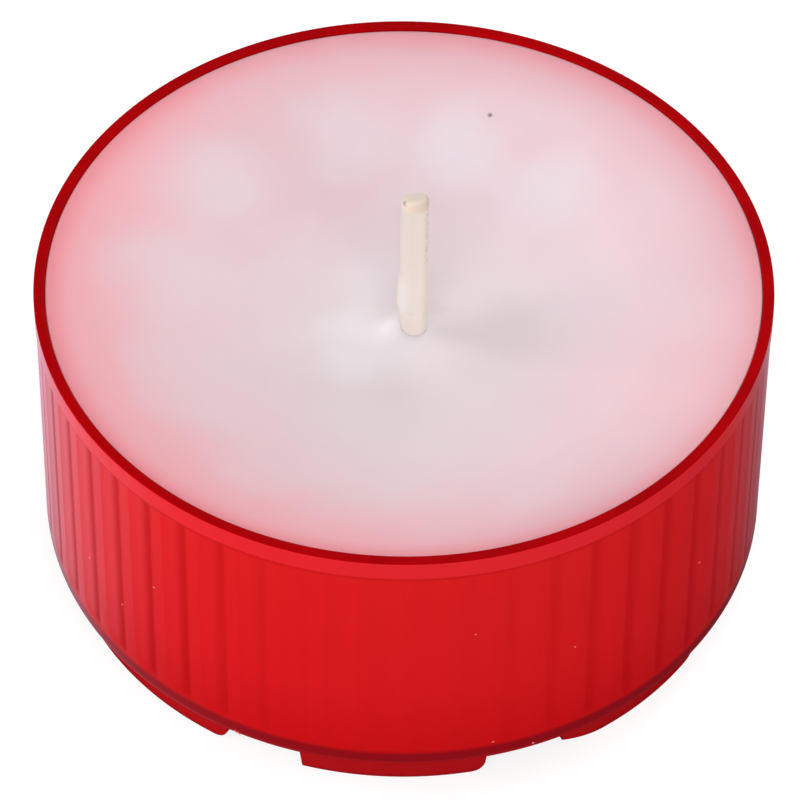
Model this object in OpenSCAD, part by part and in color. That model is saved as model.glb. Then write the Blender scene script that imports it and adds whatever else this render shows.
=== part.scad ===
// Tea light in a moulded cup: a translucent fluted cup on an interrupted foot ring, filled with
// wax, and a waxed cotton wick held upright by a small metal sustainer on the cup's floor.
// Millimetres. +Z is up, and the origin is the middle of the ring that the feet stand on.
// Azimuths are given in degrees from the front (-Y), towards +X.

/* [Cup] */
// Outer diameter of the cup at its rim
rim_d = 38; // [30:0.5:60]
// Height of the rim above the table
cup_h = 18.1; // [14:0.1:40]
// Thickness of the cup's wall
wall_t = 0.58; // [0.4:0.02:1.2]
// Thickness of the cup's floor
floor_t = 0.9; // [0.5:0.05:2]
// Draft of the wall, in degrees
wall_draft = 1.36; // [0:0.02:3]
// Radius of the outer corner between wall and floor
corner_r = 0.8; // [0.3:0.05:1.2]
// Radius of the inner corner between wall and floor
inner_corner_r = 0.45; // [0.1:0.05:1.5]
// Radius of the two edges of the flat rim
rim_edge_r = 0.08; // [0.02:0.01:0.16]

/* [Flutes] */
// Number of flutes round the wall
flute_count = 51; // [36:1:72]
// Radius of a flute's hollow
flute_r = 4.3; // [2:0.1:8]
// Depth of a flute below the ribs
flute_depth = 0.12; // [0.06:0.01:0.24]
// Height of the flutes' lower ends above the table
flute_low = 3.1; // [2.6:0.1:8]
// Height of the smooth band above the flutes
band_h = 1.2; // [0.4:0.1:4]
// How far the smooth band stands out from the ribs
band_step = 0.05; // [0.02:0.01:0.12]
// Azimuth of the first rib
rib_azimuth = 1.2; // [-3.5:0.1:3.5]

/* [Foot ring] */
// Height of the feet, from the table to the cup's underside
foot_h = 1.7; // [0.8:0.1:3]
// Thickness of the foot ring
foot_t = 0.8; // [0.5:0.05:1.5]
// How far the foot ring stands in from the foot of the wall
foot_inset = 0.95; // [0.4:0.05:3]
// Number of feet that the ring is parted into
foot_count = 8; // [3:1:10]
// Width of the gap between two feet
gap_w = 3.9; // [2:0.1:6]
// Draft of the ends of the feet, in degrees
gap_draft = 7.5; // [0:0.5:12]
// Radius of the lower corner at one end of each foot
foot_corner_r = 0.7; // [0.2:0.05:0.9]
// Radius of the foot ring's lower edges
foot_edge_r = 0.06; // [0.05:0.01:0.2]
// Azimuth of the middle of the front foot
foot_azimuth = -1.1; // [-22:0.1:22]

/* [Gate mark] */
// Diameter of the shallow recess round the moulding gate
gate_recess_d = 4; // [2.5:0.1:8]
// Depth of the gate recess
gate_recess_h = 0.2; // [0.1:0.02:0.35]
// Diameter of the gate's broken stub
gate_d = 0.9; // [0.5:0.1:2]
// Height of the gate's broken stub
gate_h = 0.12; // [0.04:0.02:0.2]

/* [Wax] */
// Drop from the rim to the wax where it meets the wall
wax_drop = 0.15; // [0:0.05:3]
// Gap that the wax leaves at the wall as it cools
wax_gap = 0.02; // [0.02:0.01:0.2]
// Depth of the dish that the wax sinks to in the middle
dish_depth = 3; // [0.5:0.1:6]
// Height to which the wax climbs the wick
climb_h = 0.5; // [0.3:0.05:2]
// Radius of the mound of wax round the wick
climb_r = 2.9; // [1.5:0.1:6]

/* [Wick and sustainer] */
// Diameter of the wick
wick_d = 1.3; // [0.8:0.05:2.5]
// Length of the wick above the wax
wick_free = 10.05; // [3:0.1:20]
// Slant of the wick's cut end, in degrees
wick_cut = 24; // [0:1:40]
// Azimuth that the cut end faces
wick_cut_azimuth = 200; // [0:5:355]
// Place of the wick, to the right of the cup's axis
wick_x = 0.5; // [-4:0.1:4]
// Place of the wick, behind the cup's axis
wick_y = -0.4; // [-4:0.1:4]
// Diameter of the sustainer's disc
sustainer_d = 12.5; // [8:0.5:16]
// Thickness of the sustainer's metal
sustainer_t = 0.25; // [0.15:0.01:0.5]
// Height of the sustainer's neck, from the floor
neck_h = 3; // [1.5:0.1:6]
// Radius of the bend from the disc into the neck
neck_bend_r = 0.5; // [0.2:0.05:1]

/* [Hidden] */

$fn = 128;
// How far the cutting shapes reach past what they cut
slack = 0.4;
// Least width of the rib that is left between two flutes
rib_min = 0.1;
rim_r = rim_d / 2;
floor_z = foot_h + floor_t;
rib_r = rim_r - band_step;
foot_r = radius_at(rib_r, cup_h, foot_h) - foot_inset;
// Direction that the drafted wall rises in, in its half section
generator = [sin(wall_draft), cos(wall_draft)];
wax_top_z = cup_h - wax_drop;
wax_r = radius_at(rim_r, cup_h, wax_top_z) - wall_t - wax_gap;
dish_r = (wax_r * wax_r + dish_depth * dish_depth) / (2 * dish_depth);
dish_z = wax_top_z - dish_depth + dish_r;
wick_off = norm([wick_x, wick_y]);
wax_at_wick = dish_z - sqrt(dish_r * dish_r - wick_off * wick_off);
wick_top_z = wax_at_wick + climb_h + wick_free;

// Radius at height z of a drafted wall whose radius at height z_top is r_top
function radius_at(r_top, z_top, z) = r_top - (z_top - z) * tan(wall_draft);

// What a rounding of radius r takes off the corner at p, whose edges leave it along a and b
module corner_waste(p, a, b, r) {
    half = acos(a * b) / 2;
    bisector = (a + b) / norm(a + b);
    run = r / tan(half);
    middle = p + bisector * r / sin(half);
    difference() {
        polygon([p + a * run, p - bisector * slack, p + b * run, middle]);
        translate(middle) circle(r = r);
    }
}

// Half section of a drafted pot, from its axis out to its wall, with a round lower corner
module pot_section(r_top, z_top, z_low, corner) {
    r_low = radius_at(r_top, z_top, z_low);
    difference() {
        polygon([[0, z_low], [r_low, z_low], [r_top, z_top], [0, z_top]]);
        corner_waste([r_low, z_low], [-1, 0], generator, corner);
    }
}

module cup_section() {
    inner_r = rim_r - wall_t;
    over_r = radius_at(inner_r, cup_h, cup_h + slack);
    band_z = cup_h - band_h;
    difference() {
        union() {
            pot_section(rib_r, cup_h, foot_h, corner_r);
            polygon([[0, band_z], [radius_at(rim_r, cup_h, band_z), band_z], [rim_r, cup_h], [0, cup_h]]);
        }
        pot_section(over_r, cup_h + slack, floor_z, inner_corner_r);
        corner_waste([rim_r, cup_h], [-1, 0], -generator, rim_edge_r);
        corner_waste([inner_r, cup_h], [1, 0], -generator, rim_edge_r);
    }
}

module foot_ring() {
    inner_r = foot_r - foot_t;
    root = floor_t / 2;
    difference() {
        rotate_extrude()
            difference() {
                translate([inner_r, 0]) square([foot_t, foot_h + root]);
                corner_waste([foot_r, 0], [-1, 0], [0, 1], foot_edge_r);
                corner_waste([inner_r, 0], [1, 0], [0, 1], foot_edge_r);
            }
        for (i = [0:foot_count - 1])
            rotate([0, 0, foot_azimuth + (i + 0.5) * 360 / foot_count]) foot_gap();
    }
}

// Slot between two feet, square at one side and round at the other where it meets the table
module foot_gap() {
    flare = foot_h * tan(gap_draft);
    low = gap_w / 2 + flare;
    side = [flare, foot_h] / norm([flare, foot_h]);
    mouth = slack * tan(gap_draft);
    translate([0, -(foot_r - foot_t - slack), 0])
        rotate([90, 0, 0])
            linear_extrude(foot_t + 2 * slack) {
                polygon([[-low - mouth, -slack], [low + mouth, -slack],
                         [gap_w / 2, foot_h], [-gap_w / 2, foot_h]]);
                corner_waste([-low, 0], [-1, 0], side, foot_corner_r);
            }
}

// Long round-bottomed hollows parallel to the wall
module flutes() {
    reach = (cup_h - flute_low + slack) / cos(wall_draft);
    for (i = [0:flute_count - 1])
        rotate([0, 0, rib_azimuth + (i + 0.5) * 360 / flute_count - 90])
            translate([rib_r - flute_depth, 0, cup_h])
                rotate([0, wall_draft, 0])
                    translate([0, 0, -reach]) linear_extrude(reach - band_h) flute_section();
}

// Section of one flute's cutter, kept narrower than the space between its neighbours
module flute_section() {
    low_r = radius_at(rib_r, cup_h, flute_low - slack) - flute_depth;
    half_w = low_r * tan(180 / flute_count) - rib_min / 2;
    intersection() {
        translate([flute_r, 0]) circle(r = flute_r);
        translate([-slack, -half_w]) square([2 * slack, 2 * half_w]);
    }
}

module gate_mark() {
    translate([0, 0, foot_h - slack])
        difference() {
            cylinder(d = gate_recess_d, h = slack + gate_recess_h);
            translate([0, 0, slack + gate_recess_h - gate_h])
                cylinder(d = gate_d, h = gate_h + slack);
        }
}

// The cup's part between two heights, before its flutes are cut
module cup_slice(z_low, z_high) {
    rotate_extrude()
        intersection() {
            cup_section();
            translate([0, z_low]) square([rim_d, z_high - z_low]);
        }
}

// The flutes end above the lower corner, so the wall is cut before it is joined to the base
module cup() {
    color([0.83, 0.09, 0.11]) {
        difference() {
            cup_slice(flute_low, cup_h);
            flutes();
        }
        difference() {
            cup_slice(0, flute_low);
            gate_mark();
        }
        foot_ring();
    }
}

// Half section of the sustainer with its neck taken as solid
module sustainer_section() {
    neck_r = wick_d / 2 + sustainer_t;
    square([sustainer_d / 2, sustainer_t]);
    square([neck_r, neck_h]);
    difference() {
        translate([0, sustainer_t / 2]) square([neck_r + neck_bend_r, neck_bend_r + sustainer_t / 2]);
        translate([neck_r + neck_bend_r, sustainer_t + neck_bend_r]) circle(r = neck_bend_r);
    }
}

// Half section of the wax that climbs the wick, hollow like a meniscus
module climb_section() {
    out = climb_r - wick_d / 2;
    bend = (out * out + climb_h * climb_h) / (2 * climb_h);
    difference() {
        translate([0, -slack]) square([climb_r, slack + climb_h]);
        translate([climb_r, bend]) circle(r = bend);
    }
}

module at_wick(z) {
    translate([wick_x, wick_y, z]) children();
}

module wax() {
    color([0.95, 0.9, 0.89])
        difference() {
            union() {
                difference() {
                    rotate_extrude() pot_section(wax_r, wax_top_z, floor_z, inner_corner_r);
                    translate([0, 0, dish_z]) sphere(r = dish_r);
                }
                at_wick(wax_at_wick) rotate_extrude() climb_section();
            }
            at_wick(floor_z) rotate_extrude() sustainer_section();
            at_wick(floor_z - slack) cylinder(d = wick_d, h = cup_h);
        }
}

module wick() {
    color([0.93, 0.89, 0.82])
        difference() {
            at_wick(floor_z) cylinder(d = wick_d, h = wick_top_z - floor_z);
            at_wick(wick_top_z - wick_d / 2 * tan(wick_cut))
                rotate([0, 0, wick_cut_azimuth])
                    rotate([wick_cut, 0, 0])
                        translate([-wick_d, -wick_d, 0]) cube(2 * wick_d);
        }
}

module wick_sustainer() {
    color([0.72, 0.72, 0.74])
        at_wick(floor_z)
            difference() {
                rotate_extrude() sustainer_section();
                translate([0, 0, -slack]) cylinder(d = wick_d, h = neck_h + 2 * slack);
            }
}

cup();
wax();
wick();
wick_sustainer();
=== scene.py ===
"""Looks of a tea light: a red moulded cup filled with white wax, and a short waxed wick.

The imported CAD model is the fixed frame. The cup, the wax and the wick are modelled again here,
with the roundings, drips and unevenness that their solids leave out, and the sustainer keeps its
solid. Sizes are in millimetres, and azimuths in degrees from the front (-Y) towards +X.
"""

import logging
from abc import ABC, abstractmethod
from collections.abc import Callable, Iterable
from dataclasses import dataclass, field
from enum import Enum
from math import acos, atan2, cos, exp, hypot, pi, radians, sin, sqrt, tan
from typing import Any

import bmesh
import bpy
import numpy as np
from mathutils import Matrix, Vector, noise

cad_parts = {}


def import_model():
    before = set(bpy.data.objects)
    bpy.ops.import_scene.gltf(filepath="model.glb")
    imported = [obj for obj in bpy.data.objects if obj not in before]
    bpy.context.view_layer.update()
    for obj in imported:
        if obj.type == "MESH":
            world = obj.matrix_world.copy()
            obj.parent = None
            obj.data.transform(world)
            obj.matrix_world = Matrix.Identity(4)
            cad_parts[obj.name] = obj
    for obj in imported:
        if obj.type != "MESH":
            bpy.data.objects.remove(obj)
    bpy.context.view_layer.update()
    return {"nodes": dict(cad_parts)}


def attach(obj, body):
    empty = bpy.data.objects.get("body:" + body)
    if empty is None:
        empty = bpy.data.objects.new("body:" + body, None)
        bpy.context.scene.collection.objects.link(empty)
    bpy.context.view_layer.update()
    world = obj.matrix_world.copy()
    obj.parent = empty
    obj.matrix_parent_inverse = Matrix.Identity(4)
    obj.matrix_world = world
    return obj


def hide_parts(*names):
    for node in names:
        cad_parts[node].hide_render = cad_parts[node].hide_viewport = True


log = logging.getLogger("tea_light")

MM = 0.001
WHITE = (1.0, 1.0, 1.0, 1.0)
Colour = tuple[float, float, float]
Point = tuple[float, float]
Vertex = tuple[float, float, float]


# ---- shader graphs


class Graph:
    """A material's or the world's node tree, with one method that adds a node of any type."""

    def __init__(self, owner: bpy.types.Material | bpy.types.World) -> None:
        """Empties the owner's node tree.

        Args:
            owner: The material or world whose nodes are made.
        """
        owner.use_nodes = True
        self.tree = owner.node_tree
        self.tree.nodes.clear()

    def add(
        self,
        kind: str,
        settings: dict[str, Any] | None = None,
        inputs: dict[str | int, Any] | None = None,
        output: str | int = 0,
    ) -> "Signal":
        """Adds one node.

        Args:
            kind: The node's type.
            settings: Its own properties; "stops" holds a colour ramp's (position, colour) pairs.
            inputs: Values or signals of its sockets, by name or by number.
            output: The socket that the node is used for.

        Returns:
            The signal of that output.
        """
        node = self.tree.nodes.new(kind)
        for name, value in (settings or {}).items():
            if name == "stops":
                self._set_stops(node.color_ramp, value)
            else:
                setattr(node, name, value)
        for name, value in (inputs or {}).items():
            if isinstance(value, Signal):
                self.tree.links.new(value.socket, node.inputs[name])
            else:
                node.inputs[name].default_value = value
        return Signal(self, node.outputs[output] if node.outputs else None)

    @staticmethod
    def _set_stops(ramp: bpy.types.ColorRamp, stops: list[tuple[float, Colour]]) -> None:
        """Gives a colour ramp its stops.

        Args:
            ramp: The ramp to change.
            stops: Position and colour of each stop, in rising order.
        """
        while len(ramp.elements) < len(stops):
            ramp.elements.new(1.0)
        for element, (position, colour) in zip(ramp.elements, stops):
            element.position = position
            element.color = (*colour, 1.0)

    def millimetres(self) -> "Signal":
        """Gives the place on the object, in millimetres."""
        place = self.add("ShaderNodeTexCoord", output="Object")
        return self.vector("SCALE", {0: place, "Scale": 1 / MM})

    def vector(self, how: str, inputs: dict[str | int, Any], output: str | int = 0) -> "Signal":
        """Adds a Vector Math node of this operation, with these inputs."""
        return self.add("ShaderNodeVectorMath", {"operation": how}, inputs, output)

    def away(self, place: "Signal", point: Vertex) -> "Signal":
        """Gives the distance from a point, in millimetres."""
        return self.vector("DISTANCE", {0: place, 1: point}, "Value")

    def rays(self, *names: str) -> "Signal":
        """Gives 1 on rays of any of these kinds, as the Light Path node names them."""
        kinds = [self.add("ShaderNodeLightPath", output=name) for name in names]
        return sum(kinds[1:], kinds[0])

    def axes(self, vector: "Signal") -> tuple["Signal", "Signal", "Signal"]:
        """Splits a vector into its x, y and z."""
        outputs = self.add("ShaderNodeSeparateXYZ", inputs={0: vector}).socket.node.outputs
        return tuple(Signal(self, outputs[index]) for index in range(3))

    def noise(self, place: "Signal", scale: float, detail: float = 2.0) -> "Signal":
        """Gives a soft random value from 0 to 1, with this many grains to a millimetre."""
        sockets = {"Vector": place, "Scale": scale, "Detail": detail}
        return self.add("ShaderNodeTexNoise", inputs=sockets)

    def streaks(self, place: "Signal", scales: Vertex) -> "Signal":
        """Gives a random value whose grain is drawn out, by its grains to a millimetre each way."""
        return self.noise(self.vector("MULTIPLY", {0: place, 1: scales}), 1.0, 3.0)

    def mix(self, share: "Signal | float", first: Any, second: Any, how: str = "MIX") -> "Signal":
        """Mixes two colours.

        Args:
            share: Share of the second one.
            first: A colour or its signal.
            second: A colour or its signal.
            how: The Mix node's blend type.

        Returns:
            The mixed colour.
        """
        sockets = {0: share}
        for index, colour in ((6, first), (7, second)):
            sockets[index] = colour if isinstance(colour, Signal) else (*colour, 1.0)
        return self.add("ShaderNodeMix", {"data_type": "RGBA", "blend_type": how}, sockets, 2)

    def bump(self, height: "Signal", depth: float, strength: float) -> "Signal":
        """Turns a height into a normal; a height of 1 stands for the depth, in millimetres."""
        sockets = {"Height": height, "Distance": depth * MM, "Strength": strength}
        return self.add("ShaderNodeBump", inputs=sockets)

    def glow(self, colour: Any, strength: float) -> "Signal":
        """Adds an Emission shader of this colour and strength."""
        return self.add("ShaderNodeEmission", inputs={"Color": colour, "Strength": strength})

    def principled(self, inputs: dict[str | int, Any]) -> None:
        """Ends a surface in a Principled shader with these inputs."""
        shader = self.add("ShaderNodeBsdfPrincipled", inputs=inputs)
        self.add("ShaderNodeOutputMaterial", inputs={"Surface": shader})


@dataclass(frozen=True)
class Signal:
    """A node's output that takes part in expressions; each operator adds a Math node."""

    graph: Graph
    socket: Any

    def _math(self, operation: str, *others: "Signal | float") -> "Signal":
        """Adds a Math node with this signal and the others as its inputs."""
        inputs = dict(enumerate((self, *others)))
        return self.graph.add("ShaderNodeMath", {"operation": operation}, inputs)

    def __add__(self, other: "Signal | float") -> "Signal":
        """Sum."""
        return self._math("ADD", other)

    __radd__ = __add__

    def __mul__(self, other: "Signal | float") -> "Signal":
        """Product."""
        return self._math("MULTIPLY", other)

    __rmul__ = __mul__

    def __sub__(self, other: "Signal | float") -> "Signal":
        """Difference."""
        return self._math("SUBTRACT", other)

    def __rsub__(self, other: float) -> "Signal":
        """Difference from a number."""
        return self._math("MULTIPLY_ADD", -1.0, other)

    def arctan2(self, other: "Signal") -> "Signal":
        """Angle whose tangent is this signal over the other, in radians."""
        return self._math("ARCTAN2", other)

    def sign(self) -> "Signal":
        """Sign, as -1 or 1."""
        return self._math("SIGN")

    def fraction(self) -> "Signal":
        """Part above the whole number."""
        return self._math("FRACT")

    def smooth(self, low: float, high: float) -> "Signal":
        """Smooth step, which rises from 0 at the low value to 1 at the high one."""
        sockets = {"Value": self, "From Min": low, "From Max": high}
        return self.graph.add("ShaderNodeMapRange", {"interpolation_type": "SMOOTHSTEP"}, sockets)


# ---- finishes


class Finish(ABC):
    """A finish that dresses a piece."""

    name: str

    def material(self) -> bpy.types.Material:
        """Gives the finish's material, made once."""
        found = bpy.data.materials.get(self.name)
        if found is None:
            found = bpy.data.materials.new(self.name)
            self.paint(Graph(found))
        return found

    @abstractmethod
    def paint(self, graph: Graph) -> None:
        """Makes the nodes.

        Args:
            graph: The material's empty node tree.
        """


@dataclass(frozen=True)
class CupRed(Finish):
    """Translucent red plastic, with painted light: bright where wax lies behind it, deep where it
    is solid or bare.

    Heights are where each tone stands, and each tone is the wall's colour with painted light or
    painted shade, for how much light comes through it there.
    """

    name: str = "cup_red"
    lit: Colour = (0.73, 0.0112, 0.0130)
    body: Colour = (0.695, 0.0082, 0.0110)
    low: Colour = (0.60, 0.0040, 0.0064)
    band: Colour = (0.80, 0.0185, 0.0270)
    step_shade: Colour = (0.61, 0.0070, 0.0098)
    solid: Colour = (0.27, 0.0032, 0.0080)
    root: Colour = (0.56, 0.0055, 0.0100)
    foot: Colour = (0.44, 0.0060, 0.0095)
    edge: Colour = (0.30, 0.0040, 0.0080)
    # Tint of the painted shade on the flute flanks.
    flute_shade_tint: Colour = (0.76, 0.52, 0.56)
    # Tint of the painted shade at the cup's far left and right.
    flank: Colour = (0.70, 0.80, 0.85)
    muddy: Colour = (0.55, 0.003, 0.006)
    height: float = 18.1
    mottle: float = 0.10
    flutes: int = 51
    rib_azimuth: float = 1.2
    dark_start: Point = (-0.07, 0.25)
    dark_end: Point = (0.28, 0.40)
    dark_share: Point = (0.72, 0.22)
    flute_start: Point = (2.9, 3.8)
    flute_end: Point = (16.6, 16.9)
    flute_side: Point = (2.5, 13.0)
    flank_side: Point = (16.6, 18.8)

    def stops(self) -> list[tuple[float, Colour]]:
        """Gives the tones, each with its share of the cup's height."""
        # Painted light and shade by height, tone by tone below.
        tones = [
            # The foot ring, darker towards its lower edge.
            (0.0, self.edge),
            (0.25, self.foot),
            (1.30, self.foot),
            (1.70, self.root),
            (2.10, self.root),
            # Painted shade: a dark band where the wall turns into the solid floor, with no wax
            # behind it.
            (2.45, self.solid),
            (2.88, self.solid),
            # Painted light: the wall brighter towards its top, where wax lies behind it.
            (3.20, self.low),
            (8.00, self.body),
            (16.60, self.lit),
            # Painted shade: a darker line under the band's step.
            (16.84, self.step_shade),
            (16.92, self.step_shade),
            # Painted glow: the smooth band, and the wall inside above the wax, are brighter.
            (16.97, self.band),
            (18.10, self.band),
        ]
        return [(z / self.height, colour) for z, colour in tones]

    def flank_shade(self, x: Signal, y: Signal, z: Signal) -> Signal:
        """Gives the painted shade on the flank of a flute that faces the middle of the cup's front.

        Args:
            x: Place to the right of the cup's axis.
            y: Place behind it.
            z: Height.

        Returns:
            The shade, from 0 to 1.
        """
        turns = x.arctan2(y * -1) * (self.flutes / (2 * pi)) - self.rib_azimuth * self.flutes / 360
        side = x.sign()
        inward = (turns.fraction() - 0.5) * side * -1
        dark = inward.smooth(*self.dark_start) * (1 - inward.smooth(*self.dark_end))
        fluted = z.smooth(*self.flute_start) * (1 - z.smooth(*self.flute_end))
        return dark * (fluted * (x * side).smooth(*self.flute_side))

    def paint(self, graph: Graph) -> None:
        """Makes the nodes.

        Args:
            graph: The material's empty node tree.
        """
        place = graph.millimetres()
        x, y, z = graph.axes(place)
        ramp = graph.add("ShaderNodeValToRGB", {"stops": self.stops()}, {0: z * (1 / self.height)})
        dark = self.flank_shade(x, y, z)
        both, leaning = self.dark_share
        # Painted shade on the flute flanks that face the middle of the front, stronger on the left.
        shaded = graph.mix(dark * (both - x.sign() * leaning), ramp, self.flute_shade_tint, "MULTIPLY")
        # Painted shade: the wall darker towards its far left and right, where x is large either
        # way.
        outermost = (x * x.sign()).smooth(*self.flank_side)
        shaded = graph.mix(outermost, shaded, self.flank, "MULTIPLY")
        cloud = graph.noise(place, 0.45, 3.0)
        colour = graph.mix(cloud * self.mottle, shaded, self.muddy)
        fine = graph.noise(place, 6.0, 3.0)
        graph.principled(
            {
                "Base Color": colour,
                "Roughness": 0.26 + fine * 0.10,
                "Specular IOR Level": 0.0,
                # The coat is thinner on the same painted-shade flanks, which dims their reflection.
                "Coat Weight": 1 - dark * 0.65,
                "Coat IOR": 1.135,
                "Coat Roughness": 0.31,
                "Normal": graph.bump(fine, 0.004, 0.5),
            }
        )


@dataclass(frozen=True)
class RimRed(Finish):
    """The cup's flat rim, where the eye looks down into the full height of the wall; its deep red
    is painted shade.
    """

    name: str = "rim_red"
    colour: Colour = (0.43, 0.0003, 0.0022)
    shade: Colour = (0.36, 0.0003, 0.0020)

    def paint(self, graph: Graph) -> None:
        """Makes the nodes.

        Args:
            graph: The material's empty node tree.
        """
        place = graph.millimetres()
        cloud = graph.noise(place, 0.25)
        fine = graph.noise(place, 5.0)
        graph.principled(
            {
                "Base Color": graph.mix(cloud.smooth(0.35, 0.65), self.colour, self.shade),
                "Roughness": 0.22 + fine * 0.1,
                "Specular IOR Level": 0.01,
                "Normal": graph.bump(fine, 0.003, 0.4),
            }
        )


@dataclass(frozen=True)
class WaxTint:
    """Tone of the wax from its middle out to the cup's wall, on one side of the candle; its pink
    towards the wall is the red glow of light through the wall, painted in.
    """

    heart: Colour
    body: Colour
    veil: Colour
    outer_glow: Colour
    glow: Colour
    brink: Colour

    def stops(self) -> list[tuple[float, Colour]]:
        """Gives the tones, each with its share of the wax's radius."""
        places = (0.10, 0.49, 0.65, 0.84, 0.93, 0.985)
        tones = (self.heart, self.body, self.veil, self.outer_glow, self.glow, self.brink)
        return list(zip(places, tones))


@dataclass(frozen=True)
class WaxPatch:
    """A cloud or painted light in the wax's face: its place, how far it fades out, how strong, and
    its tone.
    """

    x: float
    y: float
    reach: float
    share: float
    tone: Colour


LILAC: Colour = (0.83, 0.75, 0.80)
HIGHLIGHT_WHITE: Colour = (0.88, 0.83, 0.87)
PEARL: Colour = (0.81, 0.74, 0.75)
ROSE: Colour = (0.78, 0.55, 0.59)
GLOW_PINK: Colour = (1.0, 0.60, 0.645)
TAN: Colour = (0.73, 0.61, 0.61)
SOOT: Colour = (0.13, 0.08, 0.10)


@dataclass(frozen=True)
class WhiteWax(Finish):
    """Soft white paraffin wax, with the red glow of light through the cup's wall painted in,
    stronger on its lit side.
    """

    name: str = "white_wax"
    # Painted light: tones on the lit side, with the stronger red glow.
    lit_side_tint: WaxTint = WaxTint(
        (0.84, 0.765, 0.785),
        (0.85, 0.65, 0.685),
        (0.875, 0.60, 0.64),
        (0.96, 0.50, 0.54),
        (0.99, 0.455, 0.505),
        (1.0, 0.33, 0.375),
    )
    # Painted shade: tones on the side away from the light, with a weaker glow.
    shaded_side_tint: WaxTint = WaxTint(
        (0.79, 0.69, 0.705),
        (0.82, 0.675, 0.715),
        (0.85, 0.665, 0.71),
        (0.83, 0.57, 0.615),
        (0.79, 0.48, 0.53),
        (0.80, 0.34, 0.385),
    )
    patches: tuple[WaxPatch, ...] = (
        WaxPatch(-5.0, 10.8, 8.0, 0.60, ROSE),
        # Painted light: more red glow from the wall at the right front.
        WaxPatch(16.8, -5.4, 10.5, 0.35, GLOW_PINK),
        WaxPatch(-9.3, 8.8, 3.2, 0.50, LILAC),
        WaxPatch(-2.8, 12.2, 3.8, 0.50, LILAC),
        WaxPatch(2.6, 11.8, 3.3, 0.65, LILAC),
        WaxPatch(7.6, 8.8, 3.2, 0.60, LILAC),
        WaxPatch(-12.3, 2.8, 4.0, 0.40, LILAC),
        WaxPatch(-1.4, 3.0, 2.4, 0.60, LILAC),
        WaxPatch(5.2, -0.6, 3.8, 0.40, TAN),
        WaxPatch(0.6, -5.6, 2.6, 0.25, TAN),
        WaxPatch(-0.5, -8.5, 7.0, 0.40, PEARL),
        # Painted highlight on the lit mound left of the wick.
        WaxPatch(-1.9, -1.5, 3.6, 0.80, HIGHLIGHT_WHITE),
        WaxPatch(4.41, 13.53, 0.18, 0.80, SOOT),
    )
    cloudy: Colour = (0.80, 0.74, 0.79)
    clear: Colour = (0.79, 0.60, 0.63)
    radius: float = 18.4
    # Azimuth of the side away from the light.
    shaded_azimuth: float = 110.0

    def paint(self, graph: Graph) -> None:
        """Makes the nodes.

        Args:
            graph: The material's empty node tree.
        """
        place = graph.millimetres()
        x, y, _ = graph.axes(place)
        flat = graph.vector("MULTIPLY", {0: place, 1: (1, 1, 0)})
        reach = graph.vector("LENGTH", {0: flat}, "Value") * (1 / self.radius)
        turn = radians(self.shaded_azimuth)
        towards = (x * sin(turn) - y * cos(turn)) * (0.5 / self.radius) + 0.5
        sides = [
            graph.add("ShaderNodeValToRGB", {"stops": tint.stops()}, {0: reach})
            for tint in (self.lit_side_tint, self.shaded_side_tint)
        ]
        # Painted light: blends from the lit side's tones to the shaded side's.
        tone = graph.mix(towards.smooth(0.0, 0.75), *sides)
        inside = 1 - reach.smooth(0.80, 0.95)
        cloud = graph.noise(place, 0.16, 1.0)
        tone = graph.mix(cloud.smooth(0.46, 0.74) * inside * 0.25, tone, self.cloudy)
        tone = graph.mix((1 - cloud.smooth(0.26, 0.50)) * inside * 0.20, tone, self.clear)
        ragged = graph.noise(place, 0.38, 1.0) - 0.5
        for patch in self.patches:
            away = graph.away(flat, (patch.x, patch.y, 0)) + ragged * (0.7 * patch.reach)
            edge = away.smooth(0.15 * patch.reach, 1.1 * patch.reach)
            tone = graph.mix((1 - edge) * patch.share, tone, patch.tone)
        fine = graph.noise(place, 2.5, 4.0)
        graph.principled(
            {
                "Base Color": tone,
                "Roughness": 0.48 + fine * 0.12,
                "Specular IOR Level": 0.14,
                "Subsurface Weight": 0.35,
                "Subsurface Radius": (1.0, 0.75, 0.7),
                "Subsurface Scale": 1.0 * MM,
                "Normal": graph.bump(fine, 0.012, 0.35),
            }
        )


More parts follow.
